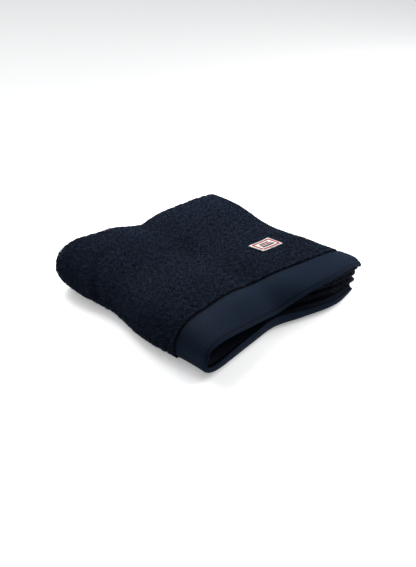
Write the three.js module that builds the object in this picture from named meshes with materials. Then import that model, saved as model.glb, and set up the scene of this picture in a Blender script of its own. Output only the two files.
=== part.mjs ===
// Folded bath towel. The cloth is folded twice along its length into a pad of four layers, and the
// pad is folded once across its width, so eight layers lie on each other. Millimetres, Z up. The
// last fold is on the -X side, the hem end with the woven band is on the -Y side, and the origin
// is at the middle of the ground that the towel covers.
import * as THREE from 'three';

// Driving sizes. Depth is counted from the outer skin, and pad.depth is half the towel's height
const cloth = { pile: 6.0, band: 2.7, bandWidth: 65, hemEdge: 1.8, seam: 1.6 };
const pad = { depth: 30, front: -175, back: 164 };
const foldReach = { wide: 11, tight: 3.85 };
const roll = { reach: 56, heart: 28, power: 2.7 };
const backCorner = { from: 0.71, inset: 8, x: -71, pull: 3 };
const valleyAlong = { x: 0, wide: 31, deep: 7.5, back: 6 };
const valleyAcross = { s: 0.63, wide: 0.19, deep: 12, atRoll: 16, atEdge: 5 };
const openEdge = { wide: 64, droop: 7, wave: 1.6, waves: 1.7 };
const hem = { hangLength: 52, liftLength: 10, stiff: 0.25, curl: 2.5, curlLength: 7 };
const hemTip = { wide: 24, long: 18, droop: 6 };
const cornerSag = { deep: 6.5, wide: 70, long: 60 };
const seamDraw = { at: 65, wide: 42 };
const patch = { x: 100, y: -35, wide: 44, long: 30, thick: 1.2, clear: 0.8, turn: 0.05 };

// From the hem end (s = 0) to the folded end (s = 1): the rolled side, the open side, the height
// of the top at the roll, in the middle and at the open side, the height of the roll's belly and
// the power of its round below the belly
const lengthRows = [
  { s: 0.00, left: -165, right: 174, top: 62, middle: 63, open: 66, belly: 28, under: 2.7 },
  { s: 0.15, left: -165, right: 181, top: 61, middle: 62, open: 56, belly: 21, under: 2.7 },
  { s: 0.40, left: -174, right: 176, top: 61, middle: 62, open: 52, belly: 22, under: 2.7 },
  { s: 0.75, left: -175, right: 178, top: 63, middle: 64, open: 60, belly: 26, under: 2.5 },
  { s: 1.00, left: -177, right: 170, top: 77, middle: 62, open: 57, belly: 37, under: 1.9 },
];

// Along the hem end, from the roll to the open side: how far the upper hem hangs and the lower
// hem is lifted, how far the upper and the lower one lie back from the straight line, how far
// the layers between them come forward, and how far the seam of the band is drawn to the hem
const hemRows = [
  { x: -170, hang: 2, lift: 12, upper: -3, lower: -4, inner: 0, seam: 0.5 },
  { x: -110, hang: 8, lift: 19, upper: 4, lower: 4, inner: 0, seam: 0 },
  { x: -50, hang: 18, lift: 21, upper: 12, lower: 13, inner: 0, seam: 0 },
  { x: 0, hang: 19, lift: 20, upper: 17, lower: 19, inner: 1, seam: 1 },
  { x: 50, hang: 11, lift: 16, upper: 7, lower: 7, inner: 7, seam: 2.5 },
  { x: 110, hang: 3, lift: 14, upper: -2, lower: -3, inner: 16, seam: 2 },
  { x: 175, hang: 5, lift: 4, upper: 6, lower: 16, inner: 20, seam: 10 },
];

// The four quarters of the cloth's length, in their order along it: the depth of each, its start
// behind the hem line, where its open edges lie on the upper and the lower half, and its share of
// the way that the inner layers come forward on the upper and the lower half
const quarters = [
  { depth: 3.0, start: 0, upper: 0, lower: -11, forwardUp: 0, forwardLow: 0, band: true },
  { depth: 26.0, start: 31, upper: -12, lower: -8, forwardUp: 0.95, forwardLow: 0.95, band: false },
  { depth: 18.4, start: 31, upper: -10, lower: -8, forwardUp: 0.95, forwardLow: 0.95, band: false },
  { depth: 10.7, start: 13, upper: -5, lower: -12, forwardUp: 0.6, forwardLow: 0.4, band: true },
];
const quarterColumns = ['upper', 'lower', 'forwardUp', 'forwardLow'];

// Places of the mesh lines: behind the end of the cloth on a band, behind the hem line past that,
// and round the pad from its upper open edge (0) over the top to the roll (1), round the roll (2)
// and under to the lower open edge (3)
const linesOnHem = [0.4, 1.6, 4, 8];
const linesBehindHem = [16, 34, 50, 88, 114, 140, 166, 190, 214, 238, 264, 290, 312];
const linesOnTop = [0, 0.05, 0.12, 0.22, 0.34, 0.44, 0.52, 0.6, 0.68, 0.77, 0.88];
const linesBelow = [0, 0.13, 0.26, 0.38, 0.47, 0.56, 0.66, 0.78, 0.9, 1];
const linesRoundRoll = 10;
const linesRoundWideFold = 8;
const linesRoundTightFold = 6;
const patchLines = { x: 6, y: 4 };
const nudge = 0.01; // the small step that finds the way of a surface

const clamp = (u) => Math.min(Math.max(u, 0), 1);
const mix = (from, to, share) => from + (to - from) * share;
const bell = (u, middle, wide) => Math.exp(-(((u - middle) / wide) ** 2));
const quarterRound = (u) => 1 - Math.sqrt(1 - clamp(u) ** 2);

// A smooth curve through one column of a table
function along(rows, key, column, at) {
  const last = rows.length - 1;
  let i = 0;
  while (i < last - 1 && at > rows[i + 1][key]) i += 1;
  const slope = (k) => {
    const before = rows[Math.max(k - 1, 0)];
    const after = rows[Math.min(k + 1, last)];
    return (after[column] - before[column]) / (after[key] - before[key]);
  };
  const span = rows[i + 1][key] - rows[i][key];
  const t = clamp((at - rows[i][key]) / span);
  const rise = t * t * (3 - 2 * t);
  return mix(rows[i][column], rows[i + 1][column], rise)
    + span * t * (1 - t) * ((1 - t) * slope(i) - t * slope(i + 1));
}

const alongLength = (column, s) => along(lengthRows, 's', column, s);
const alongHem = (column, x) => along(hemRows, 'x', column, x);

// The sides of the towel at one share of its length, drawn in at the valley across it
function sidesAt(s) {
  const across = bell(s, valleyAcross.s, valleyAcross.wide);
  const corner = quarterRound((s - backCorner.from) / (1 - backCorner.from));
  const left = alongLength('left', s) + valleyAcross.atRoll * across + backCorner.inset * corner;
  const right = alongLength('right', s) - valleyAcross.atEdge * across;
  return { left, right, across, shoulder: left + roll.reach };
}

// Height of the top: a curve through the table's three heights, less the droop of the open side
// and the valley along the towel
function topHeight(x, s, { right, shoulder }) {
  const u = (x - shoulder) / (right - shoulder);
  const m = -shoulder / (right - shoulder);
  const top = alongLength('top', s) * (u - m) * (u - 1) / m;
  const middle = alongLength('middle', s) * u * (u - 1) / (m * (m - 1));
  const open = alongLength('open', s) * u * (u - m) / (1 - m);
  const droop = openEdge.droop * clamp((x - right + openEdge.wide) / openEdge.wide) ** 2;
  return top + middle + open - droop - valleyAlong.deep * bell(x, valleyAlong.x, valleyAlong.wide);
}

// The outer skin and the core between the two halves, for one line round the pad. high is 1 on
// the upper half of the skin and 0 on the lower
function skinAndCore(a, y, s, sides, edges) {
  const { left, right, shoulder } = sides;
  const heart = left + roll.heart;
  const coreAt = (x) => {
    const sag = cornerSag.deep * bell(x, right, cornerSag.wide) * bell(y, 0, cornerSag.long);
    return { x, z: topHeight(x, s, sides) / 2 - sag };
  };
  if (a <= 1) {
    const x = mix(edges.upper, shoulder, a);
    const skin = { x, z: topHeight(x, s, sides), high: 1 };
    return { skin, core: coreAt(mix(edges.upper, heart, a)) };
  }
  if (a >= 2) {
    const skin = { x: mix(shoulder, edges.lower, a - 2), z: 0, high: 0 };
    return { skin, core: coreAt(mix(heart, edges.lower, a - 2)) };
  }
  const turn = Math.PI * (a - 1);
  const above = turn < Math.PI / 2;
  const crest = topHeight(shoulder, s, sides);
  const power = above ? roll.power : alongLength('under', s);
  const z = mix(alongLength('belly', s), above ? crest : 0, Math.abs(Math.cos(turn)) ** (2 / power));
  const x = shoulder - roll.reach * Math.abs(Math.sin(turn)) ** (2 / power);
  return { skin: { x, z, high: z / crest }, core: coreAt(heart) };
}

// How far the hem has come down on the upper half and up on the lower, at one place behind the hem
function hemShift(x, y, high, upperEdge) {
  const hang = alongHem('hang', x) * clamp(1 - y / hem.hangLength) ** 2;
  const lift = alongHem('lift', x) * quarterRound(1 - y / hem.liftLength);
  const tip = clamp(1 - (upperEdge - x) / hemTip.wide) * clamp(1 - y / hemTip.long);
  const curl = hem.curl * quarterRound(1 - y / hem.curlLength) + hemTip.droop * tip;
  return (1 - high) * lift - high * (hang + curl);
}

// Place of a point of the pad, from the line round it (a), the length behind the hem line (y),
// the depth below the skin and the row of its quarter
function place(a, y, depth, { upper, lower, forwardUp, forwardLow }) {
  const full = pad.back - pad.front;
  const s = clamp(y / full);
  const share = depth / pad.depth;
  const sides = sidesAt(s);
  const wave = openEdge.wave * Math.sin(2 * Math.PI * openEdge.waves * (s + share));
  const edges = { upper: sides.right + upper + wave, lower: sides.right + lower + wave };
  const { skin, core } = skinAndCore(a, y, s, sides, edges);
  const x = mix(skin.x, core.x, share);
  const high = mix(skin.high, 0.5, share);
  const loose = clamp((1 - share) / (1 - hem.stiff));
  const z = mix(skin.z, core.z, share) - high * valleyAcross.deep * sides.across
    + loose * hemShift(x, y, skin.high, edges.upper);
  const corner = clamp((backCorner.x - x) / (backCorner.x - sides.left));
  const front = pad.front + mix(alongHem('lower', x), alongHem('upper', x), high)
    - mix(forwardLow, forwardUp, high) * alongHem('inner', x);
  const back = pad.back - valleyAlong.back * bell(x, valleyAlong.x, valleyAlong.wide)
    - backCorner.pull * corner ** 2;
  const drawn = alongHem('seam', x) * bell(y, seamDraw.at, seamDraw.wide);
  return new THREE.Vector3(x, mix(front, back, y / full) - drawn, z);
}

// Row of the table of quarters at a place between two of them
function sharedRow(quarter) {
  const from = Math.floor(quarter);
  const to = Math.min(from + 1, quarters.length - 1);
  const shared = (column) => mix(quarters[from][column], quarters[to][column], quarter - from);
  return Object.fromEntries(quarterColumns.map((column) => [column, shared(column)]));
}

// Stations of one flat quarter: its y, depth and half thickness, thin on the woven band
function quarterStations(quarter, forward) {
  const { depth, start, band } = quarters[quarter];
  const from = start + (band ? linesOnHem.at(-1) : foldReach.tight);
  const row = linesBehindHem
    .filter((y) => y > from)
    .map((y) => ({ y, half: (band && y < cloth.bandWidth ? cloth.band : cloth.pile) / 2 }));
  if (band) {
    const seam = row.findIndex(({ y }) => y > cloth.bandWidth);
    row.splice(seam, 0, { y: cloth.bandWidth - cloth.seam, half: cloth.band / 2 });
    row.splice(seam + 1, 0, { y: cloth.bandWidth, half: cloth.pile / 2 });
    row.unshift({ y: start, half: cloth.hemEdge / 2 },
      ...linesOnHem.map((behind) => ({ y: start + behind, half: cloth.band / 2 })));
  }
  if (!forward) row.reverse();
  return row.map(({ y, half }) => ({ y, depth, half, quarter }));
}

// Stations of the turn from one quarter to the next
function foldStations(from, y, reach, count) {
  const middle = (quarters[from].depth + quarters[from + 1].depth) / 2;
  const radius = (quarters[from + 1].depth - quarters[from].depth) / 2;
  return Array.from({ length: count + 1 }, (unused, i) => {
    const angle = Math.PI * i / count;
    return {
      y: y + reach * Math.sin(angle),
      depth: middle - radius * Math.cos(angle),
      half: cloth.pile / 2,
      quarter: from + i / count,
    };
  });
}

function clothStations() {
  const back = pad.back - pad.front - foldReach.wide;
  return [
    ...quarterStations(0, true),
    ...foldStations(0, back, foldReach.wide, linesRoundWideFold),
    ...quarterStations(1, false),
    ...foldStations(1, quarters[1].start, -foldReach.tight, linesRoundTightFold),
    ...quarterStations(2, true),
    ...foldStations(2, back, foldReach.tight, linesRoundTightFold),
    ...quarterStations(3, false),
  ];
}

// Direction of the cloth from one station to the next
function heading(stations, i) {
  const y = stations[i + 1].y - stations[i].y;
  const depth = stations[i + 1].depth - stations[i].depth;
  const size = Math.hypot(y, depth);
  return { y: y / size, depth: depth / size };
}

// The two faces of the cloth as one closed outline: each station with its offset in y and depth
function clothOutline(stations) {
  const last = stations.length - 1;
  const side = (sign) => stations.map((station, i) => {
    const before = heading(stations, Math.max(i - 1, 0));
    const after = heading(stations, Math.min(i, last - 1));
    const run = { y: before.y + after.y, depth: before.depth + after.depth };
    const offset = sign * station.half / Math.hypot(run.y, run.depth);
    const row = sharedRow(station.quarter);
    return { ...station, row, outY: offset * run.depth, outDepth: -offset * run.y };
  });
  return [...side(1), ...side(-1).reverse()];
}

// A point of a face. By a hem, which can be steep, it is set off square to the cloth
function facePoint(a, { y, depth, row, outY, outDepth }) {
  if (y > hem.liftLength) return place(a, y + outY, depth + outDepth, row);
  const at = (line, behind) => place(line, behind, depth, row);
  const run = at(a, y + nudge).sub(at(a, y));
  const across = at(Math.min(a + nudge, 3), y).sub(at(Math.max(a - nudge, 0), y));
  return at(a, y).addScaledVector(run.cross(across).normalize(), -outDepth);
}

function meshGeometry(points, triangles) {
  const geometry = new THREE.BufferGeometry().setFromPoints(points);
  geometry.setIndex(triangles);
  return geometry;
}

// One closed body: the outline at each line round the pad, joined, with an end at each open edge
function towelGeometry() {
  const stations = clothStations();
  const outline = clothOutline(stations);
  const rollLines = Array.from({ length: linesRoundRoll }, (unused, i) => 1 + i / linesRoundRoll);
  const rounds = [...linesOnTop, ...rollLines, ...linesBelow.map((a) => a + 2)];
  const points = rounds.flatMap((a) => outline.map((station) => facePoint(a, station)));
  const size = outline.length;
  const last = (rounds.length - 1) * size;
  const triangles = [];
  const quad = (p, q, r, t) => triangles.push(p, q, r, p, r, t);
  for (let ring = 0; ring < last; ring += size) {
    for (let k = 0; k < size; k += 1) {
      const next = (k + 1) % size;
      quad(ring + k, ring + next, ring + size + next, ring + size + k);
    }
  }
  for (let k = 0; k + 1 < stations.length; k += 1) {
    const opposite = size - 1 - k;
    quad(k, opposite, opposite - 1, k + 1);
    quad(last + k, last + k + 1, last + opposite - 1, last + opposite);
  }
  return meshGeometry(points, triangles);
}

// Point on the top at a place in plan, a little above the skin
function onTop(x, y, above) {
  const full = pad.back - pad.front;
  const behind = y - pad.front;
  const { right, shoulder } = sidesAt(clamp(behind / full));
  return place((right - x) / (right - shoulder), behind, -above, quarters[0]);
}

// A thin sewn patch that follows the top
function patchGeometry() {
  const { x, y } = patchLines;
  const lower = [];
  const upper = [];
  for (let j = 0; j <= y; j += 1) {
    for (let i = 0; i <= x; i += 1) {
      const u = (i / x - 0.5) * patch.wide;
      const v = (j / y - 0.5) * patch.long;
      const px = patch.x + u * Math.cos(patch.turn) - v * Math.sin(patch.turn);
      const py = patch.y + u * Math.sin(patch.turn) + v * Math.cos(patch.turn);
      lower.push(onTop(px, py, patch.clear));
      upper.push(onTop(px, py, patch.clear + patch.thick));
    }
  }
  const row = x + 1;
  const size = lower.length;
  const triangles = [];
  const quad = (p, q, r, t) => triangles.push(p, q, r, p, r, t);
  for (let j = 0; j < y; j += 1) {
    for (let i = 0; i < x; i += 1) {
      const k = j * row + i;
      quad(k, k + row, k + row + 1, k + 1);
      quad(size + k, size + k + 1, size + k + row + 1, size + k + row);
    }
  }
  for (let i = 0; i < x; i += 1) {
    const far = y * row + i;
    quad(i, i + 1, size + i + 1, size + i);
    quad(far + 1, far, size + far, size + far + 1);
  }
  for (let j = 0; j < y; j += 1) {
    const near = j * row;
    quad(near + row, near, size + near, size + near + row);
    quad(near + x, near + row + x, size + near + row + x, size + near + x);
  }
  return meshGeometry([...lower, ...upper], triangles);
}

function piece(name, geometry, color, roughness) {
  const material = new THREE.MeshStandardMaterial({ color, roughness, metalness: 0 });
  const mesh = new THREE.Mesh(geometry, material);
  mesh.name = name;
  return mesh;
}

const towel = new THREE.Group();
towel.add(piece('towel', towelGeometry(), 0x1b2231, 0.95));
towel.add(piece('label_patch', patchGeometry(), 0xcfc3b8, 0.8));

// The origin goes to the middle of the ground that the towel covers
const { min, max } = new THREE.Box3().setFromObject(towel);
towel.position.set(-(min.x + max.x) / 2, -(min.y + max.y) / 2, -min.z);

export default towel;
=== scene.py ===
# Folded bath towel in navy terry. Sizes in the dictionaries are millimetres.
import math

import bpy
import numpy as np
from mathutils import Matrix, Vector

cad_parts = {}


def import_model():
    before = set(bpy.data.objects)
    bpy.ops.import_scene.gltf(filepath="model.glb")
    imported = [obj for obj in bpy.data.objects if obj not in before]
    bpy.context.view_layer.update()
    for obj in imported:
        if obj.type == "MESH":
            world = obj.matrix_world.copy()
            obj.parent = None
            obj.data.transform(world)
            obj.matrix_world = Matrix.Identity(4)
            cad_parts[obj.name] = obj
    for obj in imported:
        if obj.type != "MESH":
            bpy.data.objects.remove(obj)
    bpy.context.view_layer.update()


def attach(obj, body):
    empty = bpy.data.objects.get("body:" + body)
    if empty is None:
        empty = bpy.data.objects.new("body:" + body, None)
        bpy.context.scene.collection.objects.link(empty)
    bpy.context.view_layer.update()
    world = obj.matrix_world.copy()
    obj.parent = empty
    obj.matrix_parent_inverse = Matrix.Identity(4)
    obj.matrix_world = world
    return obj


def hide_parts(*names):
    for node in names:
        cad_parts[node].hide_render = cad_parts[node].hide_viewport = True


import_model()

mm = 0.001
rng = np.random.default_rng(7)
print("stage: frame loaded")


# The fold, with the same sizes as the solids
fold = {
    "depth": 30.0, "front": -175.0, "back": 164.0, "wideTurn": 11.0, "tightTurn": 3.85,
    "rollReach": 56.0, "rollHeart": 28.0, "rollPower": 2.7,
    "cornerFrom": 0.71, "cornerInset": 8.0, "cornerX": -71.0, "cornerPull": 3.0,
    "valleyX": 0.0, "valleyWide": 31.0, "valleyDeep": 7.5, "valleyBack": 6.0,
    "crossAt": 0.63, "crossWide": 0.19, "crossDeep": 12.0, "crossRoll": 16.0, "crossEdge": 5.0,
    "droopWide": 64.0, "droop": 7.0, "wave": 1.6, "waves": 1.7,
    "hangLength": 52.0, "liftLength": 10.0, "hemStiff": 0.25, "curl": 2.5, "curlLength": 7.0,
    "seamAt": 65.0, "seamWide": 42.0, "sag": 6.5, "sagWide": 70.0, "sagLong": 60.0,
    "tipWide": 24.0, "tipLong": 18.0, "tipDroop": 6.0,
    "centreX": -5.017, "centreY": 6.051,
}
lengthRows = {  # from the hem end to the folded end
    "s": [0.00, 0.15, 0.40, 0.75, 1.00],
    "left": [-165, -165, -174, -175, -177],
    "right": [174, 181, 176, 178, 170],
    "top": [62, 61, 61, 63, 77],
    "middle": [63, 62, 62, 64, 62],
    "open": [66, 56, 52, 60, 57],
    "belly": [28, 21, 22, 26, 37],
    "under": [2.7, 2.7, 2.7, 2.5, 1.9],
}
hemRows = {  # from the roll to the open side
    "x": [-170, -110, -50, 0, 50, 110, 175],
    "hang": [2, 8, 18, 19, 11, 3, 5],
    "lift": [12, 19, 21, 20, 16, 14, 4],
    "upper": [-3, 4, 12, 17, 7, -2, 6],
    "lower": [-4, 4, 13, 19, 7, -3, 16],
    "inner": [0, 0, 0, 1, 7, 16, 20],
    "seam": [0.5, 0, 0, 1, 2.5, 2, 10],
}
quarterRows = {  # in their order along the cloth
    "depth": [3.0, 26.0, 18.4, 10.7],
    "start": [0, 31, 31, 13],
    "upper": [0, -12, -10, -5],
    "lower": [-11, -8, -8, -12],
    "forwardUp": [0, 0.95, 0.95, 0.6],
    "forwardLow": [0, 0.95, 0.95, 0.4],
}
edgeColumns = ("upper", "lower", "forwardUp", "forwardLow")
outerRow = (0.0, 0.0, 0.0, 0.0)  # the edge columns of the outermost skin
fullLength = fold["back"] - fold["front"]


def bell(u, middle, wide):  # 1 at the middle, falling softly to 0
    return np.exp(-((u - middle) / wide) ** 2)


def quarterRound(u):  # from 0 to 1 as a quarter of a circle falls away
    return 1 - np.sqrt(1 - np.clip(u, 0, 1) ** 2)


def mix(start, end, share):
    return start + (end - start) * share


def along(rows, key, name, at):  # a smooth curve through one column of a table
    xs, ys = np.array(rows[key], float), np.array(rows[name], float)
    slopes = np.gradient(ys, xs)
    slopes[1:-1] = (ys[2:] - ys[:-2]) / (xs[2:] - xs[:-2])
    i = np.clip(np.searchsorted(xs, at, side="right") - 1, 0, len(xs) - 2)
    span = xs[i + 1] - xs[i]
    t = np.clip((at - xs[i]) / span, 0, 1)
    rise = t * t * (3 - 2 * t)
    return mix(ys[i], ys[i + 1], rise) + span * t * (1 - t) * ((1 - t) * slopes[i] - t * slopes[i + 1])


def sidesAt(s):
    across = bell(s, fold["crossAt"], fold["crossWide"])
    corner = quarterRound((s - fold["cornerFrom"]) / (1 - fold["cornerFrom"]))
    left = along(lengthRows, "s", "left", s) + fold["crossRoll"] * across + fold["cornerInset"] * corner
    right = along(lengthRows, "s", "right", s) - fold["crossEdge"] * across
    return left, right, left + fold["rollReach"], across


def topHeight(x, s, right, shoulder):
    u = (x - shoulder) / (right - shoulder)
    m = -shoulder / (right - shoulder)
    top = along(lengthRows, "s", "top", s) * (u - m) * (u - 1) / m
    middle = along(lengthRows, "s", "middle", s) * u * (u - 1) / (m * (m - 1))
    openSide = along(lengthRows, "s", "open", s) * u * (u - m) / (1 - m)
    droop = fold["droop"] * np.clip((x - right + fold["droopWide"]) / fold["droopWide"], 0, 1) ** 2
    return top + middle + openSide - droop - fold["valleyDeep"] * bell(x, fold["valleyX"], fold["valleyWide"])


# a goes from 0 at the open side over the top to 1, around the roll to 2 and along the underside to 3
def place(a, y, depth, row):  # row holds the edge columns of a quarter
    a, y, depth, *row = np.broadcast_arrays(a, y, depth, *row)
    upper, lower, forwardUp, forwardLow = row
    s = np.clip(y / fullLength, 0, 1)
    share = depth / fold["depth"]
    left, right, shoulder, across = sidesAt(s)
    wave = fold["wave"] * np.sin(2 * np.pi * fold["waves"] * (s + share))
    upperEdge, lowerEdge = right + upper + wave, right + lower + wave
    heart = left + fold["rollHeart"]
    onTop, below = a <= 1, a >= 2
    turn = np.pi * np.clip(a - 1, 0, 1)
    crest = topHeight(shoulder, s, right, shoulder)
    belly = along(lengthRows, "s", "belly", s)
    power = np.where(turn < np.pi / 2, fold["rollPower"], along(lengthRows, "s", "under", s))
    rise, reach = np.abs(np.cos(turn)) ** (2 / power), np.abs(np.sin(turn)) ** (2 / power)
    skinX = np.where(onTop, mix(upperEdge, shoulder, a),
                     np.where(below, mix(shoulder, lowerEdge, a - 2), shoulder - fold["rollReach"] * reach))
    rollZ = mix(belly, np.where(turn < np.pi / 2, crest, 0), rise)
    skinZ = np.where(onTop, topHeight(skinX, s, right, shoulder), np.where(below, 0, rollZ))
    skinHigh = np.where(onTop, 1, np.where(below, 0, rollZ / crest))
    coreX = np.where(onTop, mix(upperEdge, heart, a), np.where(below, mix(heart, lowerEdge, a - 2), heart))
    coreZ = topHeight(coreX, s, right, shoulder) / 2
    coreZ = coreZ - fold["sag"] * bell(coreX, right, fold["sagWide"]) * bell(y, 0, fold["sagLong"])
    x = mix(skinX, coreX, share)
    high = mix(skinHigh, 0.5, share)
    loose = np.clip((1 - share) / (1 - fold["hemStiff"]), 0, 1)
    hang = along(hemRows, "x", "hang", x) * np.clip(1 - y / fold["hangLength"], 0, 1) ** 2
    lift = along(hemRows, "x", "lift", x) * quarterRound(1 - y / fold["liftLength"])
    z = mix(skinZ, coreZ, share) - high * fold["crossDeep"] * across
    z = z - loose * skinHigh * hang + loose * (1 - skinHigh) * lift
    nearTip = np.clip(1 - (upperEdge - x) / fold["tipWide"], 0, 1) * np.clip(1 - y / fold["tipLong"], 0, 1)
    curl = fold["curl"] * quarterRound(1 - y / fold["curlLength"])
    z = z - loose * skinHigh * (curl + fold["tipDroop"] * nearTip)
    corner = np.clip((fold["cornerX"] - x) / (fold["cornerX"] - left), 0, 1)
    front = fold["front"] + mix(along(hemRows, "x", "lower", x), along(hemRows, "x", "upper", x), high)
    front = front - mix(forwardLow, forwardUp, high) * along(hemRows, "x", "inner", x)
    back = fold["back"] - fold["valleyBack"] * bell(x, fold["valleyX"], fold["valleyWide"])
    back = back - fold["cornerPull"] * corner ** 2
    drawn = along(hemRows, "x", "seam", x) * bell(y, fold["seamAt"], fold["seamWide"])
    return np.stack([x, mix(front, back, y / fullLength) - drawn, z], -1)


creases = {  # soft troughs and ridges: both ends, half width, and the push at their middle
    "x0": [-128, -138, -132, -144, -60, 104, 118, 150, 136],
    "y0": [108, 94, 88, 104, 150, 24, 8, -20, -58],
    "z0": [58, 54, 52, 53, 68, 52, 52, 50, 50],
    "x1": [-108, -160, -156, -163, -12, 140, 150, 172, 134],
    "y1": [111, 68, 50, 82, 92, -46, -56, -60, -96],
    "z1": [59, 26, 30, 28, 58, 52, 52, 44, 48],
    "wide": [4.5, 6, 7, 7, 15, 10, 8, 16, 9],
    "pushX": [0.0, 3.2, -1.8, -1.6, 0.0, 0.0, 0.0, 0.0, 0.0],
    "pushZ": [-4.2, -1.4, 1.0, 1.0, 1.6, 1.8, -3.0, 1.6, -1.8],
}
creaseReach = 18.0  # how far a crease is felt in the layers below it


def pressed(points):  # the points of the fold after the creases have pushed them
    out = points.copy()
    for k in range(len(creases["wide"])):
        start, end = (np.array([creases[axis + side][k] for axis in "xyz"], float) for side in "01")
        run = end - start
        t = np.clip((points - start) @ run / (run @ run), 0, 1)
        away = points - start - t[..., None] * run
        push = np.array([creases["pushX"][k], 0.0, creases["pushZ"][k]])
        inward = away @ push / np.linalg.norm(push)
        sideways = np.sqrt(np.maximum(np.sum(away ** 2, axis=-1) - inward ** 2, 0))
        out += (bell(sideways, 0, creases["wide"][k]) * bell(inward, 0, creaseReach))[..., None] * push
    return out


sines = {"count": 6, "fan": 2.4, "shortest": 0.75, "longer": 0.13, "shift": 1.7}  # that make up a ripple


def ripple(u, v, size, turn):  # an uneven but smooth wave, its bumps about size across; turn picks a pattern
    total = 0.0
    for k in range(sines["count"]):
        angle = turn + sines["fan"] * k
        stretch = np.pi / (size * (sines["shortest"] + sines["longer"] * k))
        phase = turn * (k + sines["shift"]) ** 2
        total = total + np.sin(stretch * (u * math.cos(angle) + v * math.sin(angle)) + phase)
    return total / sines["count"]


# The cloth: half thicknesses are counted from its middle, and loops stand on the ground
cloth = {
    "width": 700.0, "length": 1400.0, "bandWidth": 65.0, "ground": 1.1, "pile": 2.5, "underside": 3.0,
    "edge": 1.0, "edgeWide": 5.0, "edgeHalf": 2.4, "edgeRound": 1.2, "corner": 5.5,
    "edgeLines": [0.0, 0.3, 0.8, 1.6, 3.2, 5.2, 7.4],
    "step": 4.3, "hiddenStep": 9.0, "fineStep": 2.6, "straightRows": 160, "turnRows": 40,
    "bump": 7.0, "bumpRise": 0.22, "bumpLevel": 0.4, "bumpTurn": 0.7, "bandFade": 1.6,
    "seamWander": 1.4, "wanderWide": 5.0, "wanderLong": 7.0, "wanderTurn": 1.3,
    "heartThin": 0.9, "heartFrom": 0.85, "heartTo": 2.15, "heartFade": 0.15,
}
margin = {  # how far from a turn, the band or a rim the loops, fine steps, pressed pile and its painted shade begin or end
    "before": 12.0, "after": 8.0, "hidden": 9.0, "fade": 3.0, "band": 1.0, "rim": 1.5, "mouthRim": 9.0,
    "darkRim": 2.6, "mouthBefore": 10.0, "mouthAfter": 6.0, "under": 8.0, "underFade": 0.1,
    "rollEnd": 2.1, "rollFade": 0.02,
}
hemProfile = {  # behind the hem end: the turned hem with its line of sewing, the band and the seam groove
    "at": [0.0, 0.4, 1.1, 2.6, 3.4, 4.4, 5.2, 7.6, 8.7, 9.6, 10.8, 61.0, 61.7, 64.8, 65.6, 66.6],
    "outer": [0.7, 1.6, 2.1, 2.1, 0.9, 0.9, 1.6, 1.6, 1.35, 1.35, 1.35, 1.35, -0.5, -0.6, 1.1, 1.1],
    "inner": [0.7, 1.5, 1.9, 2.0, 1.8, 1.8, 1.8, 1.8, 1.3, 1.3, 1.35, 1.35, 1.3, 1.2, 1.1, 1.1],
}
hemNotch = {"deep": 2.0, "half": 0.3}
beadGroove = (4, 5)  # the profile's rows on both sides of the groove behind the hem's bead
bandLast = 11  # the profile's last row on the band, before the groove of the seam


def clothPath():  # the middle of the cloth from its outer hem to its inner one: length, y, depth, quarter
    depth, start = quarterRows["depth"], quarterRows["start"]
    back = fullLength - fold["wideTurn"]
    rows = []

    def straight(quarter, first, last):
        for y in np.linspace(first, last, cloth["straightRows"], endpoint=False):
            rows.append((y, depth[quarter], quarter))

    def turn(quarter, y, reach):
        middle = (depth[quarter] + depth[quarter + 1]) / 2
        radius = (depth[quarter + 1] - depth[quarter]) / 2
        for t in np.linspace(0, 1, cloth["turnRows"], endpoint=False):
            angle = math.pi * t
            rows.append((y + reach * math.sin(angle), middle - radius * math.cos(angle), quarter + t))

    straight(0, start[0], back)
    turn(0, back, fold["wideTurn"])
    straight(1, back, start[1])
    turn(1, start[1], -fold["tightTurn"])
    straight(2, start[2], back)
    turn(2, back, fold["tightTurn"])
    straight(3, back, start[3])
    rows.append((start[3], depth[3], 3))
    path = np.array(rows)
    steps = np.hypot(np.diff(path[:, 0]), np.diff(path[:, 1]))
    return np.column_stack([np.concatenate([[0], np.cumsum(steps)]), path])


path = dict(zip(("length", "y", "depth", "quarter"), clothPath().T))
lastLength = path["length"][-1]
turnAt = {  # where each turn begins and ends along the cloth
    name: (path["length"][path["quarter"] <= k].max(), path["length"][path["quarter"] >= k + 1].min())
    for k, name in enumerate(("back", "mouth", "inner"))
}
roundSamples = np.linspace(0, 3, 601)  # the width of the cloth is measured once, around the outermost skin
measuredAt = 0.3 * fullLength
skinLine = place(roundSamples, measuredAt, 0.0, outerRow)
roundWidth = np.concatenate([[0], np.cumsum(np.linalg.norm(np.diff(skinLine, axis=0), axis=1))])
lastWidth = roundWidth[-1]
undersideWidth = np.interp(2, roundSamples, roundWidth)  # where the roll ends and the underside begins


def smoothStep(u):
    u = np.clip(u, 0, 1)
    return u * u * (3 - 2 * u)


def pathValue(v, column):
    return np.interp(v, path["length"], path[column])


def uncreasedPoint(width, v):
    width, v = np.broadcast_arrays(width, v)
    a = np.interp(width, roundWidth, roundSamples)
    quarter = pathValue(v, "quarter")
    row = [np.interp(quarter, range(len(quarterRows[name])), quarterRows[name]) for name in edgeColumns]
    return place(a, pathValue(v, "y"), pathValue(v, "depth"), row)


def middlePoint(width, v):
    return pressed(uncreasedPoint(width, v))


def unit(directions):
    return directions / np.linalg.norm(directions, axis=-1, keepdims=True)


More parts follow.
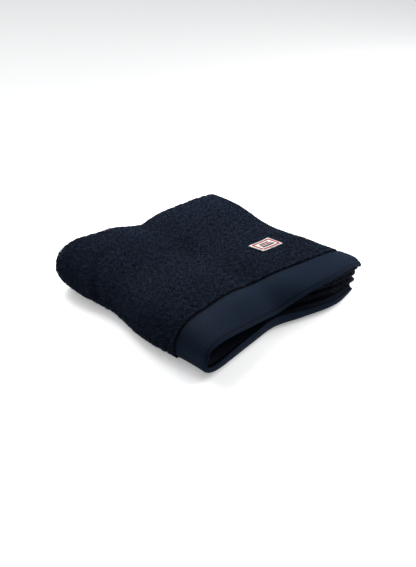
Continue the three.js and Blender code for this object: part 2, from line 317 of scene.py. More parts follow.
def clothFrames(width, v):  # a place on the cloth, both directions of the cloth there and its outward one
    step = 0.5
    ahead, behind = np.minimum(width + step, lastWidth), np.maximum(width - step, 0)
    across = unit(middlePoint(ahead, v) - middlePoint(behind, v))
    ahead, behind = np.minimum(v + step, lastLength), np.maximum(v - step, 0)
    lengthwise = unit(middlePoint(width, ahead) - middlePoint(width, behind))
    return middlePoint(width, v), across, lengthwise, unit(np.cross(lengthwise, across))


def clothPoint(width, v, off):  # off is the distance from the middle of the cloth, outwards on the top
    middle, _, _, outward = clothFrames(width, v)
    return middle + np.asarray(off)[..., None] * outward


def inFrame(points):  # from the fold's millimetres to the frame's metres
    return (points + np.array([fold["centreX"], fold["centreY"], 0.0])) * mm


def fromRim(width):
    return np.minimum(width, lastWidth - width)


def fromHem(v):
    return np.minimum(v, lastLength - v)


def stoodOn(width, v):  # 1 where loops stand on the outer face: top, roll, back turn and mouth
    def after(turn):
        return smoothStep((v - turnAt[turn][0] + margin["before"]) / margin["fade"])

    def before(turn):
        return smoothStep((turnAt[turn][1] + margin["after"] - v) / margin["fade"])

    a, inwards = np.interp(width, roundWidth, roundSamples), fromRim(width)
    outside = smoothStep((margin["rollEnd"] - a) / margin["rollFade"])
    outside = outside * smoothStep((v - cloth["bandWidth"]) / margin["band"])
    inMouth = after("mouth") * before("mouth") * smoothStep((inwards - margin["mouthRim"]) / margin["fade"])
    stood = np.maximum(np.maximum(outside, after("back")) * before("back"), inMouth)
    return stood * smoothStep((inwards - margin["rim"]) / margin["rim"])


def halfThickness(width, v, side):  # side is 1 on the outer face of the cloth and -1 on the inner one
    band = np.interp(fromHem(v), hemProfile["at"], hemProfile["outer" if side > 0 else "inner"])
    a = np.interp(width, roundWidth, roundSamples)
    under = smoothStep((turnAt["back"][0] - v) / margin["under"]) * (side > 0)
    under = under * smoothStep((a - 2) / margin["underFade"])
    bumps = ripple(width, v, cloth["bump"], cloth["bumpTurn"] * side) - cloth["bumpLevel"]
    pile = mix(cloth["pile"], cloth["underside"], under) + (1 - under) * cloth["bumpRise"] * bumps
    if side > 0:
        pile = mix(pile, cloth["ground"], stoodOn(width, v))
    # the second layer is thinner inside the roll
    inHeart = np.clip(1 - 2 * np.abs(pathValue(v, "quarter") - 1), 0, 1)
    inHeart = inHeart * smoothStep((a - cloth["heartFrom"]) / cloth["heartFade"])
    inHeart = inHeart * smoothStep((cloth["heartTo"] - a) / cloth["heartFade"])
    pile = pile - cloth["heartThin"] * inHeart
    half = mix(band, pile, smoothStep((fromHem(v) - hemProfile["at"][-1]) / cloth["bandFade"]))
    rounding = np.sqrt(np.clip(fromRim(width) / cloth["edgeRound"], 0, 1))
    edge = mix(cloth["edge"], cloth["edgeHalf"], rounding)
    past = smoothStep((fromRim(width) - cloth["edgeRound"]) / cloth["edgeWide"])
    return np.minimum(half, mix(edge, half, past))


def steppedLine(marks, steps):  # places along a line, evenly spaced between its marks
    places = [np.array(marks[:1], float)]
    for first, last, step in zip(marks, marks[1:], steps):
        count = max(1, round((last - first) / step))
        places.append(np.linspace(first, last, count + 1)[1:])
    return np.concatenate(places)


def clothStations():  # along the cloth: the hem's profile, fine steps on the turns and coarse ones between
    fine, coarse, hidden, at = cloth["fineStep"], cloth["step"], cloth["hiddenStep"], hemProfile["at"]
    marks = [at[-1], turnAt["back"][0], turnAt["back"][1] + margin["before"],
             turnAt["mouth"][0] - margin["before"], turnAt["mouth"][1] + margin["before"],
             turnAt["inner"][0], turnAt["inner"][1], lastLength - at[-1]]
    middle = steppedLine(marks, [coarse, fine, hidden, fine, hidden, fine, hidden])
    band = steppedLine(at[bandLast - 1:bandLast + 1], [coarse])
    start = np.concatenate([[hemNotch["deep"]], at[:bandLast - 1], band, at[bandLast + 1:-1]])
    return np.concatenate([start, middle, lastLength - start[::-1]])


def wavySeam(width, v):  # lets the groove of the seam wander a little along the cloth
    wander = cloth["seamWander"] * ripple(width, 0 * v, cloth["wanderLong"], cloth["wanderTurn"])
    return v + wander * bell(fromHem(v), cloth["bandWidth"], cloth["wanderWide"])


def roundedCorners(width, v):  # draws the four corners of the cloth in to an arc
    insetAcross = cloth["corner"] - fromRim(width)
    insetAlong = cloth["corner"] - fromHem(v)
    inCorner = (insetAcross > 0) & (insetAlong > 0)
    away = np.where(inCorner, np.hypot(insetAcross, insetAlong), 1)
    pull = np.where(inCorner, 1 - np.maximum(insetAcross, insetAlong) / away, 0)
    return (width + pull * insetAcross * np.sign(lastWidth / 2 - width),
            v + pull * insetAlong * np.sign(lastLength / 2 - v))


def addMesh(name, points, faces, flat=None):  # flat is the place of each point on the cloth laid flat
    mesh = bpy.data.meshes.new(name)
    corners = faces.ravel()
    mesh.vertices.add(len(points))
    mesh.vertices.foreach_set("co", points.ravel())
    mesh.loops.add(len(corners))
    mesh.loops.foreach_set("vertex_index", corners.astype(np.int32))
    mesh.polygons.add(len(faces))
    starts = np.arange(0, len(corners), faces.shape[1], dtype=np.int32)
    mesh.polygons.foreach_set("loop_start", starts)
    if flat is not None:
        mesh.uv_layers.new(name="flatCloth").data.foreach_set("uv", flat[corners].ravel())
    mesh.update(calc_edges=True)
    mesh.shade_smooth()
    piece = bpy.data.objects.new(name, mesh)
    bpy.context.collection.objects.link(piece)
    return piece


def towelSheet():  # a closed sheet: rings around the cloth from one rim to the other, and both rims closed
    v = clothStations()
    edge = np.array(cloth["edgeLines"])
    between = steppedLine([edge[-1], lastWidth - edge[-1]], [cloth["step"]])
    width = np.concatenate([edge[:-1], between, lastWidth - edge[-2::-1]])
    grid = np.meshgrid(width, v, indexing="ij")
    faces = []
    for side in (1, -1):
        half = halfThickness(*grid, side)
        half[:, [0, -1]] = hemNotch["half"]
        faces.append(clothPoint(*roundedCorners(grid[0], wavySeam(*grid)), side * half))
    points = np.concatenate([faces[0], faces[1][:, ::-1]], axis=1)
    points[..., 2] = np.maximum(points[..., 2], 0)
    flat = np.stack(np.broadcast_arrays(width[:, None], np.concatenate([v, v[::-1]])), -1) * mm
    lines, size = points.shape[:2]
    here = np.arange(size)
    after = (here + 1) % size
    ring = np.arange(lines - 1)[:, None] * size
    quads = np.stack([ring + here, ring + after, ring + size + after, ring + size + here], -1).reshape(-1, 4)
    station = np.arange(len(v) - 1)
    opposite = size - 1 - station
    nearEnd = np.stack([station, opposite, opposite - 1, station + 1], -1)
    farEnd = np.stack([station, station + 1, opposite - 1, opposite], -1) + (lines - 1) * size
    faces = np.concatenate([quads, nearEnd, farEnd])
    return addMesh("towelSheet", inFrame(points.reshape(-1, 3)), faces, flat.reshape(-1, 2))


towel = towelSheet()
bpy.ops.object.select_all(action="DESELECT")
towel.select_set(True)
bpy.context.view_layer.objects.active = towel
bpy.ops.object.shade_smooth_by_angle(angle=math.radians(50))  # keeps the cut edges crisp
print("stage: towel sheet", len(towel.data.polygons), "faces")


# Terry loops: short arches of yarn that stand on the ground and lean together in clumps
loop = {
    "pitch": 2.3, "rowPitch": 2.2, "jitter": 0.8, "stood": 0.9, "aboveTable": 0.05, "foot": 0.25,
    "height": 2.2, "heightSpread": 0.35, "lowest": 1.2, "highest": 3.4, "span": 0.95, "topShare": 0.6,
    "yarn": 0.52, "turn": 0.7, "lean": 0.55, "clump": 4.4, "clumpLean": 2.64,
    "acrossTurn": 0.4, "alongTurn": 2.1, "clumpRise": 1.1, "riseSize": 5.72, "riseTurn": 3.3,
    "edgeShare": 0.7, "edgeWide": 9.0, "pressed": 0.5,
}
seamRow = {  # the first row of the pile: its places behind the band, and how far it hangs over the groove
    "pitch": 0.75, "ends": 2.0, "jitter": 0.6, "behind": 1.4, "low": -0.3, "high": 1.2, "stood": 0.7,
    "over": 2.0, "level": 0.35, "swing": 1.1, "size": 5.0, "turn": 1.9, "spread": 0.35,
    "least": -0.1, "most": 1.3, "rise": 0.6, "riseWide": 8.0,
}
yarnToneAndPaintedShade = {  # the tone of each loop from 0, dark, to 1, light: random, with painted shade inside the fold and in creases and painted light on ridges
    "level": 0.5, "spread": 0.3, "swing": 0.45, "size": 6.0, "turn": 5.1, "mouth": 0.35,
    "paintedCreaseShade": 0.2, "least": 0.1, "most": 1.4,
}


def loopPlaces(widths, lengths):  # staggered rows, each loop a little off its place
    across = np.arange(*widths, loop["pitch"])
    rows = np.arange(*lengths, loop["rowPitch"])
    width, v = np.meshgrid(across, rows)
    width = width + loop["pitch"] / 2 * (np.arange(len(rows)) % 2)[:, None]
    spread = loop["jitter"] * loop["pitch"] / 2
    width = (width + rng.uniform(-spread, spread, width.shape)).ravel()
    v = (v + rng.uniform(-spread, spread, v.shape)).ravel()
    inside = (width > widths[0]) & (width < widths[1]) & (v > lengths[0]) & (v < lengths[1])
    return width[inside], v[inside]


def standLoops(name, widths, lengths):  # one piece of loops on a strip of the cloth
    width, v = loopPlaces(widths, lengths)
    keep = (stoodOn(width, v) > loop["stood"]) & ~underLabel(width, v)
    return weaveLoops(name, width[keep], v[keep], 0.0)


def isHidden(v):  # past the back turn, on the inner layers and in the mouth
    return v > turnAt["back"][1] + margin["hidden"]


def weaveLoops(name, width, v, overSeam):  # overSeam is how far each loop leans towards the hem
    count = len(v)
    middle, across, lengthwise, outward = clothFrames(width, v)
    foot = middle + (cloth["ground"] - loop["foot"]) * outward
    angle = rng.normal(0, loop["turn"], count)[:, None]
    forward = np.cos(angle) * lengthwise + np.sin(angle) * across
    sideways = np.cos(angle) * across - np.sin(angle) * lengthwise
    clumps = [ripple(width, v, loop["clump"], loop[turn]) for turn in ("acrossTurn", "alongTurn")]
    lean = loop["lean"] * rng.normal(0, 1, (count, 2))
    lean += loop["clumpLean"] * np.column_stack(clumps)
    lean[:, 1] -= overSeam
    tilt = lean[:, :1] * across + lean[:, 1:] * lengthwise
    rise = loop["height"] + loop["heightSpread"] * rng.normal(0, 1, count)
    rise += loop["clumpRise"] * ripple(width, v, loop["riseSize"], loop["riseTurn"])
    rise += seamRow["rise"] * np.clip(1 - (v - cloth["bandWidth"]) / seamRow["riseWide"], 0, 1)
    rise *= mix(loop["edgeShare"], 1, smoothStep(fromRim(width) / loop["edgeWide"]))
    press = np.where(isHidden(v), loop["pressed"], 1)[:, None]
    rise = np.clip(rise, loop["lowest"], loop["highest"])[:, None] * press
    top = foot + tilt * press + rise * outward
    reach = loop["span"] * forward
    rings = [  # middle of each ring, and the way that its outer corner points
        (foot - reach, -forward),
        (top - loop["topShare"] * reach, (outward - forward) / math.sqrt(2)),
        (top + loop["topShare"] * reach, (outward + forward) / math.sqrt(2)),
        (foot + reach, forward),
    ]
    sides = 3  # each ring of the yarn is a triangle
    corners = math.pi / 2 + 2 * math.pi * np.arange(sides) / sides
    points = np.stack([
        centre + loop["yarn"] * (math.sin(corner) * out + math.cos(corner) * sideways)
        for centre, out in rings for corner in corners
    ], axis=1)
    points[..., 2] = np.maximum(points[..., 2], loop["aboveTable"])
    perLoop = len(rings) * sides
    faces = [(0, 2, 1), (perLoop - 3, perLoop - 2, perLoop - 1)]
    for ring in range(len(rings) - 1):
        for side in range(sides):
            a, b = sides * ring + side, sides * ring + (side + 1) % sides
            faces += [(a, b, b + sides), (a, b + sides, a + sides)]
    faces = (np.arange(count)[:, None, None] * perLoop + np.array(faces)).reshape(-1, 3)
    flat = np.repeat(np.column_stack([width, v]) * mm, perLoop, axis=0)
    piece = addMesh(name, inFrame(points.reshape(-1, 3)), faces, flat)
    shade = yarnToneAndPaintedShade["level"] + yarnToneAndPaintedShade["spread"] * rng.normal(0, 1, count)
    shade = np.clip(shade + yarnToneAndPaintedShade["swing"] * ripple(width, v, yarnToneAndPaintedShade["size"], yarnToneAndPaintedShade["turn"]), 0, 1)
    raised = np.sum((middle - uncreasedPoint(width, v)) * outward, axis=-1)  # below 0 in a crease
    # painted shade and light: loops darker in a crease's trough, lighter on its ridge
    paintedCreaseFactor = np.clip(1 + yarnToneAndPaintedShade["paintedCreaseShade"] * raised, yarnToneAndPaintedShade["least"], yarnToneAndPaintedShade["most"])
    # painted shade: the loops inside the fold are darker by a fixed share
    shade = shade * np.where(isHidden(v), yarnToneAndPaintedShade["mouth"], 1) * paintedCreaseFactor
    perPoint = np.repeat(shade, perLoop).astype(np.float32)
    piece.data.attributes.new("yarnToneAndPaintedShade", "FLOAT", "POINT").data.foreach_set("value", perPoint)
    return piece


label = {
    "x": 100.0, "y": -35.0, "wide": 44.0, "long": 30.0, "turn": 0.05, "cell": 1.0, "loopsInset": 0.8,
    "clear": 0.6, "crown": 0.7, "crownWide": 3.5, "thick": 1.1,
}


def labelPlane(x, y):  # from the fold's plan to the label's own sizes, from its middle
    dx, dy = x - label["x"], y - label["y"]
    return (dx * math.cos(label["turn"]) + dy * math.sin(label["turn"]),
            dy * math.cos(label["turn"]) - dx * math.sin(label["turn"]))


def underLabel(width, v):
    spot = clothPoint(width, v, cloth["pile"])
    u, w = labelPlane(spot[..., 0], spot[..., 1])
    reachU, reachW = (label[size] / 2 - label["loopsInset"] for size in ("wide", "long"))
    return (np.abs(u) < reachU) & (np.abs(w) < reachW) & (v < turnAt["back"][0])


def seamLoops():  # the first row of the pile, which hangs over the seam groove
    count = int(lastWidth / seamRow["pitch"])
    width = np.linspace(seamRow["ends"], lastWidth - seamRow["ends"], count)
    width = width + rng.uniform(-seamRow["jitter"], seamRow["jitter"], count)
    v = cloth["bandWidth"] + seamRow["behind"] + rng.uniform(seamRow["low"], seamRow["high"], count)
    keep = stoodOn(width, v) > seamRow["stood"]
    width, v = width[keep], v[keep]
    over = seamRow["level"] + seamRow["swing"] * ripple(width, 0 * v, seamRow["size"], seamRow["turn"])
    over = np.clip(over + rng.normal(0, seamRow["spread"], len(v)), seamRow["least"], seamRow["most"])
    return weaveLoops("seamLoops", width, v, seamRow["over"] * over)


strips = 5  # of loops, side by side from rim to rim
rims = (margin["rim"], lastWidth - margin["rim"])
outerLength = (cloth["bandWidth"], turnAt["back"][1] + margin["after"])
mouthLength = (turnAt["mouth"][0] - margin["mouthBefore"], turnAt["mouth"][1] + margin["mouthAfter"])
edges = np.linspace(*rims, strips + 1)
pile = [seamLoops()]
for k, strip in enumerate(zip(edges, edges[1:])):
    pile.append(standLoops("pileLoops%d" % (k + 1), strip, outerLength))
pile.append(standLoops("mouthLoops", rims, mouthLength))
print("stage: loops", [(piece.name, len(piece.data.polygons)) for piece in pile])


# Sewing: the lockstitches along the hem, and the satin stitches of the label
stitch = {
    "long": 2.7, "pitch": 3.4, "thread": 0.24, "behindHem": 9.1, "above": 1.3, "arch": 0.15, "ends": 3.0,
}
threadShape = {"share": [0.0, 0.12, 0.5, 0.88, 1.0], "swell": [0.25, 0.85, 1.0, 0.85, 0.25]}


def threads(name, start, end, outward, radius, arch):  # short rounded threads between two rows of points
    reach = end - start
    sideways = np.cross(unit(reach), outward)
    sides, shares = 4, threadShape["share"]  # each ring of the thread is a square
    rings = []
    for share, swell in zip(shares, threadShape["swell"]):
        middle = start + share * reach + arch * (4 * share * (1 - share)) * outward
        for k in range(sides):
            corner = math.pi * (0.25 + 2 * k / sides)
            rings.append(middle + radius * swell * (math.cos(corner) * sideways + math.sin(corner) * outward))
    points = np.stack(rings, axis=1)
    lastRing = (len(shares) - 1) * sides
    faces = [(0, 3, 2, 1), (lastRing, lastRing + 1, lastRing + 2, lastRing + 3)]
    for ring in range(len(shares) - 1):
        for side in range(sides):
            a, b = ring * sides + side, ring * sides + (side + 1) % sides
            faces.append((a, b, b + sides, a + sides))
    perThread = len(shares) * sides
    faces = (np.arange(len(start))[:, None, None] * perThread + np.array(faces)).reshape(-1, 4)
    return addMesh(name, inFrame(points.reshape(-1, 3)), faces)


def hemStitches():
    at = np.arange(stitch["ends"], lastWidth - stitch["ends"], stitch["pitch"])
    v = np.full(len(at), stitch["behindHem"])
    middle, _, _, outward = clothFrames(at, v)
    start = middle + stitch["above"] * outward
    end = clothPoint(at + stitch["long"], v, stitch["above"])
    return threads("hemStitches", start, end, outward, stitch["thread"], stitch["arch"])


hemThread = hemStitches()


def onTop(x, y, above):  # a point above the top, at a place in plan
    behind = y - fold["front"]
    _, right, shoulder, _ = sidesAt(np.clip(behind / fullLength, 0, 1))
    return pressed(place((right - x) / (right - shoulder), behind, -above, outerRow))


def onLabel(u, w, above):
    turn = label["turn"]
    return onTop(label["x"] + u * math.cos(turn) - w * math.sin(turn),
                 label["y"] + u * math.sin(turn) + w * math.cos(turn), above)


def labelCloth():  # a woven ground, its rim pressed down by the sewing
    bpy.ops.object.select_all(action="DESELECT")
    columns, rows = (round(label[size] / label["cell"]) for size in ("wide", "long"))
    bpy.ops.mesh.primitive_grid_add(x_subdivisions=columns, y_subdivisions=rows, size=1)
    piece = bpy.context.object
    piece.name = piece.data.name = "labelGround"
    count = len(piece.data.vertices)
    points = np.empty(count * 3)
    piece.data.vertices.foreach_get("co", points)
    u, w = points.reshape(-1, 3)[:, 0] * label["wide"], points.reshape(-1, 3)[:, 1] * label["long"]
    rim = np.minimum(label["wide"] / 2 - np.abs(u), label["long"] / 2 - np.abs(w))
    crown = label["clear"] + label["crown"] * smoothStep(rim / label["crownWide"])
    piece.data.vertices.foreach_set("co", inFrame(onLabel(u, w, crown)).ravel())
    flat = piece.data.uv_layers[0]
    flat.name = "flatCloth"
    corners = np.empty(len(piece.data.loops), np.int32)
    piece.data.loops.foreach_get("vertex_index", corners)
    flat.data.foreach_set("uv", (np.column_stack([u, w]) * mm)[corners].ravel())
    solid = piece.modifiers.new("thickness", "SOLIDIFY")
    solid.thickness = label["thick"] * mm
    solid.offset = -1
    bpy.ops.object.modifier_apply(modifier=solid.name)
    piece.data.shade_smooth()
    return piece


satin = {
    "pitch": 0.55, "thread": 0.42, "arch": 0.35, "rimInset": 0.7, "rimWide": 2.2, "rimAbove": 0.7,
    "frameInset": 4.0, "frameWide": 3.6, "above": 1.35,
}
bars = {  # plain bars inside the frame: place of the middle, half length, width and thread
    "w": [5.0, 0.6, -4.6],
    "half": [10.0, 13.0, 13.0],
    "wide": [3.4, 3.2, 5.0],
    "thread": ["dark", "red", "dark"],
}


def satinRun(fromEnd, toEnd, wide):  # both ends of each stitch along a run on the label
    fromEnd, toEnd = np.array(fromEnd, float), np.array(toEnd, float)
    size = np.linalg.norm(toEnd - fromEnd)
    run = (toEnd - fromEnd) / size
    sideways = np.array([-run[1], run[0]]) * wide / 2
    at = fromEnd + run * np.arange(satin["pitch"] / 2, size, satin["pitch"])[:, None]
    return at - sideways, at + sideways


def satinThreads(name, runs, above):
    ends = [satinRun(*run) for run in runs]
    near = np.concatenate([pair[0] for pair in ends])
    far = np.concatenate([pair[1] for pair in ends])
    start, end = onLabel(*near.T, above), onLabel(*far.T, above)
    outward = unit(onLabel(*near.T, above + 1) - start)
    return threads(name, start, end, outward, satin["thread"], satin["arch"])


def frameRuns(inset, wide):
    u, w = label["wide"] / 2 - inset, label["long"] / 2 - inset
    corners = [(-u, -w), (u, -w), (u, w), (-u, w)]
    return [(corners[k], corners[(k + 1) % 4], wide) for k in range(4)]


def barRuns(colour):
    rows = zip(bars["w"], bars["half"], bars["wide"], bars["thread"])
    return [((-half, w), (half, w), wide) for w, half, wide, thread in rows if thread == colour]


labelGround = labelCloth()
labelRim = satinThreads("labelRim", frameRuns(satin["rimInset"], satin["rimWide"]), satin["rimAbove"])
redRuns = frameRuns(satin["frameInset"], satin["frameWide"]) + barRuns("red")
labelRed = satinThreads("labelRed", redRuns, satin["above"])
labelDark = satinThreads("labelDark", barRuns("dark"), satin["above"])
labelPieces = [labelGround, labelRim, labelRed, labelDark]
print("stage: sewing and label")


for piece in [towel, hemThread] + pile:
    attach(piece, "root")
    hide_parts("towel")
for piece in labelPieces:
    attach(piece, "root")
    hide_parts("label_patch")


def linear(hexColour):
    values = [int(hexColour[k:k + 2], 16) / 255 for k in (1, 3, 5)]
    return [v / 12.92 if v <= 0.04045 else ((v + 0.055) / 1.055) ** 2.4 for v in values] + [1.0]


def addNode(material, kind, settings=None, links=None):
    tree = material.node_tree
    node = tree.nodes.new(kind)
    for name, value in (settings or {}).items():
        if name in node.inputs:
            node.inputs[name].default_value = value
        else:
            setattr(node, name, value)
    for name, source in (links or {}).items():
        tree.links.new(source, node.inputs[name])
    return node


def newMaterial(name, settings):
    material = bpy.data.materials.new(name)
    material.use_nodes = True
    shader = material.node_tree.nodes["Principled BSDF"]
    for name, value in settings.items():
        shader.inputs[name].default_value = value
    return material, shader


mixSocket = {"from": 6, "to": 7, "result": 2}  # the mix node's sockets that hold colours


def blendColours(material, share, dark, light):
    mixer = addNode(material, "ShaderNodeMix", {"data_type": "RGBA"}, {"Factor": share})
    mixer.inputs[mixSocket["from"]].default_value = linear(dark)
    mixer.inputs[mixSocket["to"]].default_value = linear(light)
    return mixer.outputs[mixSocket["result"]]


finish = {  # colours, and the sizes of the weaves
    # the third colour here is the lighter one of the painted shade inside the fold, on the far hem and at the
    # rims
    "pileDark": "#05070c", "pileLight": "#202c40", "paintedShadePileLight": "#101725", "pileSheen": "#8fa0c0",
    "bandDark": "#060f1a", "bandLight": "#142236", "bandSheen": "#a0b0cc",
    # the first two colours here are painted shadow, for the grooves and the bands' inner faces
    "paintedShadowDark": "#03050a", "paintedShadowLight": "#080c14", "hemThread": "#0a111c",
    "labelCream": "#d9d4cf", "labelShade": "#c4bfb8", "labelRed": "#9c2836", "labelDark": "#2a282e",
    "floor": "#f4f4f4",
    "groundPitch": 1.4, "yarnPitch": 0.9, "strandPitch": 0.7, "strandDark": 0.78, "labelPitch": 0.55,
    "ribStep": 4.0,  # along the hem, which makes 2.8 across the ribs
}


def terryMaterial():  # combed cotton terry: soft, dull yarn loops that show a little sheen at their rims
    material, shader = newMaterial("cottonTerryPile", {
        "Roughness": 0.9, "Sheen Weight": 0.06, "Sheen Roughness": 0.4, "Specular IOR Level": 0.1,
        "Sheen Tint": linear(finish["pileSheen"])})
    # the loops' colour, with their random tone and their painted shade
    shade = addNode(material, "ShaderNodeAttribute", {"attribute_name": "yarnToneAndPaintedShade"}).outputs["Fac"]
    colour = blendColours(material, shade, finish["pileDark"], finish["pileLight"])
    material.node_tree.links.new(colour, shader.inputs["Base Color"])
    return material


def groundMaterial(name, dark, light):  # cotton ground weave, also in the darker colours of the painted shadow and the painted shade: dull, with a coarse grain
    material, shader = newMaterial(name, {
        "Roughness": 0.95, "Sheen Weight": 0.05, "Sheen Roughness": 0.5, "Specular IOR Level": 0.1,
        "Sheen Tint": linear(finish["pileSheen"])})
    spot = addNode(material, "ShaderNodeTexCoord").outputs["Object"]
    grainScale = 1 / (finish["groundPitch"] * mm)
    grain = addNode(material, "ShaderNodeTexVoronoi", {"Scale": grainScale}, {"Vector": spot})
    colour = blendColours(material, grain.outputs["Distance"], light, dark)
    material.node_tree.links.new(colour, shader.inputs["Base Color"])
    bump = addNode(material, "ShaderNodeBump", {"Strength": 0.8, "Distance": 0.6 * mm, "invert": True},
                   {"Height": grain.outputs["Distance"]})
    material.node_tree.links.new(bump.outputs["Normal"], shader.inputs["Normal"])
    return material


def bandMaterial():  # flat twill of mercerised cotton: fine slanting ribs with a dull shine
    material, shader = newMaterial("cottonTwillBand", {
        "Roughness": 0.75, "Sheen Weight": 0.02, "Sheen Roughness": 0.4, "Specular IOR Level": 0.04,
        "Sheen Tint": linear(finish["bandSheen"])})
    flat = addNode(material, "ShaderNodeUVMap", {"uv_map": "flatCloth"}).outputs["UV"]
    # ribs coarser than real ones, so that they show; at scale 1 the node's are pi / 5 apart along an axis
    ribs = addNode(material, "ShaderNodeTexWave", {
        "wave_type": "BANDS", "bands_direction": "DIAGONAL", "wave_profile": "SIN",
        "Scale": 2 * math.pi / (10 * finish["ribStep"] * mm),
        "Distortion": 0.35, "Detail": 1.0, "Detail Scale": 2.0}, {"Vector": flat})
    yarnScale = 1 / (finish["yarnPitch"] * mm)
    yarn = addNode(material, "ShaderNodeTexNoise", {"Scale": yarnScale, "Detail": 2.0}, {"Vector": flat})
    both = addNode(material, "ShaderNodeMath", {"operation": "MULTIPLY"})
    material.node_tree.links.new(ribs.outputs["Fac"], both.inputs[0])
    material.node_tree.links.new(yarn.outputs["Fac"], both.inputs[1])
    colour = blendColours(material, both.outputs[0], finish["bandDark"], finish["bandLight"])
    material.node_tree.links.new(colour, shader.inputs["Base Color"])
    bump = addNode(material, "ShaderNodeBump", {"Strength": 0.6, "Distance": 0.35 * mm},
                   {"Height": both.outputs[0]})
    material.node_tree.links.new(bump.outputs["Normal"], shader.inputs["Normal"])
    return material


def threadMaterial(name, colour, roughness, shine):  # polyester thread shines softly, cotton hardly
    material, shader = newMaterial(name, {"Roughness": roughness, "Specular IOR Level": shine})
    spot = addNode(material, "ShaderNodeTexCoord").outputs["Object"]
    strandScale = 1 / (finish["strandPitch"] * mm)
    strands = addNode(material, "ShaderNodeTexNoise", {"Scale": strandScale, "Detail": 1.0}, {"Vector": spot})
    channels = [int(finish["strandDark"] * int(colour[k:k + 2], 16)) for k in (1, 3, 5)]
    darker = "#" + "".join("%02x" % channel for channel in channels)
    mixed = blendColours(material, strands.outputs["Fac"], darker, colour)
    material.node_tree.links.new(mixed, shader.inputs["Base Color"])
    return material


def labelMaterial():  # polyester label cloth in a fine plain weave: smooth, with a faint grid
    material, shader = newMaterial("wovenLabelCloth", {"Roughness": 0.75, "Specular IOR Level": 0.3})
    flat = addNode(material, "ShaderNodeUVMap", {"uv_map": "flatCloth"}).outputs["UV"]
    weave = addNode(material, "ShaderNodeTexChecker", {
        "Scale": 1 / (finish["labelPitch"] * mm),
        "Color1": (0.0, 0.0, 0.0, 1.0), "Color2": (1.0, 1.0, 1.0, 1.0)}, {"Vector": flat})
    colour = blendColours(material, weave.outputs["Fac"], finish["labelShade"], finish["labelCream"])
    material.node_tree.links.new(colour, shader.inputs["Base Color"])
    bump = addNode(material, "ShaderNodeBump", {"Strength": 0.5, "Distance": 0.2 * mm},
                   {"Height": weave.outputs["Fac"]})
    material.node_tree.links.new(bump.outputs["Normal"], shader.inputs["Normal"])
    return material


def innerFaces():  # the faces on the inner side of the cloth
    count = len(clothStations())
    order = np.arange(len(towel.data.polygons))
    rimsFrom = len(order) - 2 * (count - 1)
    return (order < rimsFrom) & (order % (2 * count) >= count)


def dressTowel():  # terry ground, twill on the bands, painted shadow in the grooves and on the bands' inner faces, painted shade on the pile inside, the far hem and the rims
    dresses = {
        "terry": groundMaterial("cottonTerryGround", finish["pileDark"], finish["pileLight"]),
        "twill": bandMaterial(),
        # painted shadow: a near-black ground for the grooves and the bands' inner faces
        "seam": groundMaterial("paintedShadowGround", finish["paintedShadowDark"], finish["paintedShadowLight"]),
        # painted shade: a darker terry ground for the pile inside, the far hem and the rims
        "pressed": groundMaterial("paintedShadeTerryPile", finish["pileDark"], finish["paintedShadePileLight"]),
    }
    for material in dresses.values():
        towel.data.materials.append(material)
    flat = np.empty(len(towel.data.loops) * 2)
    towel.data.uv_layers["flatCloth"].data.foreach_get("uv", flat)
    width, v = flat.reshape(-1, 4, 2).mean(1).T / mm
    behindHem, at = fromHem(v), hemProfile["at"]
    grooveStart, grooveEnd = (at[row] for row in beadGroove)
    rules = [  # the first that holds for a face
        # painted shade: the far hem is darker all over
        ("pressed", v > lastLength - at[-1]),
        # painted shadow: the band's inner face on the top and the roll is near black
        ("seam", innerFaces() & (behindHem > grooveEnd) & (behindHem < at[-1]) & (width < undersideWidth)),
        # painted shadow in the groove behind the hem's bead
        ("seam", (behindHem > grooveStart) & (behindHem < grooveEnd)),
        ("twill", behindHem < at[bandLast]),
        # painted shadow in the groove of the seam
        ("seam", behindHem < at[-1]),
        # painted shade: the pile inside the fold and along the rims is darker
        ("pressed", isHidden(v) | (fromRim(width) < margin["darkRim"])),
    ]
    names, conditions = zip(*rules)
    order = list(dresses)
    indices = np.select(conditions, [order.index(name) for name in names], order.index("terry"))
    towel.data.polygons.foreach_set("material_index", indices.astype(np.int32))


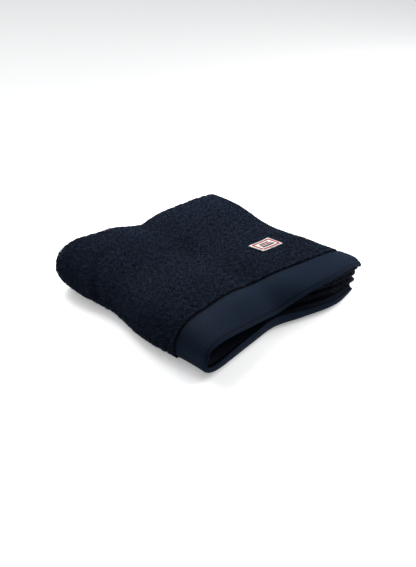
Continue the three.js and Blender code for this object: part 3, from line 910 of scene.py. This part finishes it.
dressTowel()
terry = terryMaterial()
for piece in pile:
    piece.data.materials.append(terry)
hemThread.data.materials.append(threadMaterial("cottonHemThread", finish["hemThread"], 0.8, 0.04))
labelGround.data.materials.append(labelMaterial())
labelRim.data.materials.append(threadMaterial("creamBorderThread", finish["labelCream"], 0.5, 0.3))
labelRed.data.materials.append(threadMaterial("redBorderThread", finish["labelRed"], 0.5, 0.3))
labelDark.data.materials.append(threadMaterial("charcoalBarThread", finish["labelDark"], 0.5, 0.3))
print("stage: materials")


view = {
    "camera": (-0.8770, -0.9258, 0.8133), "aim": (-0.0061, -0.0027, 0.0136),
    "focalPixels": 960.0, "longSide": 567.0, "sensor": 36.0, "floor": 12.0, "floorZ": -0.0005,
    "floorGlow": 0.35, "lightsAim": (0, 0, 0.03), "room": (0.95, 0.97, 1.0, 1.0), "roomLight": 0.3,
}
lights = {  # low on the camera's right, close behind, high behind on the left
    "x": [0.95, 0.1, -0.6],
    "y": [-0.45, 0.42, 1.2],
    "z": [0.7, 0.45, 1.4],
    "wide": [0.8, 0.6, 1.4],
    "watts": [15.5, 7.5, 12.0],
}


def aimed(spot, target):
    return (Vector(target) - Vector(spot)).to_track_quat("-Z", "Y").to_euler()


def studio():
    bpy.ops.mesh.primitive_plane_add(size=view["floor"], location=(0, 0, view["floorZ"]))
    floor = bpy.context.object
    floor.name = "studioFloor"
    material, shader = newMaterial("litWhiteTable", {  # white acrylic, lit a little from below
        "Base Color": linear(finish["floor"]), "Roughness": 0.9,
        "Emission Color": linear(finish["floor"]), "Emission Strength": view["floorGlow"]})
    floor.data.materials.append(material)
    for k, watts in enumerate(lights["watts"]):
        spot = tuple(lights[axis][k] for axis in "xyz")
        bpy.ops.object.light_add(type="AREA", location=spot, rotation=aimed(spot, view["lightsAim"]))
        bpy.context.object.data.size = lights["wide"][k]
        bpy.context.object.data.energy = watts
    world = bpy.data.worlds.new("paleRoom")
    world.use_nodes = True
    background = world.node_tree.nodes["Background"]
    background.inputs["Color"].default_value = view["room"]
    background.inputs["Strength"].default_value = view["roomLight"]
    bpy.context.scene.world = world
    bpy.context.scene.view_settings.view_transform = "Standard"


studio()
bpy.ops.object.camera_add(location=view["camera"], rotation=aimed(view["camera"], view["aim"]))
camera = bpy.context.object
camera.data.sensor_width = view["sensor"]
camera.data.lens = view["focalPixels"] * view["sensor"] / view["longSide"]
bpy.context.scene.camera = camera
print("stage: studio and camera")
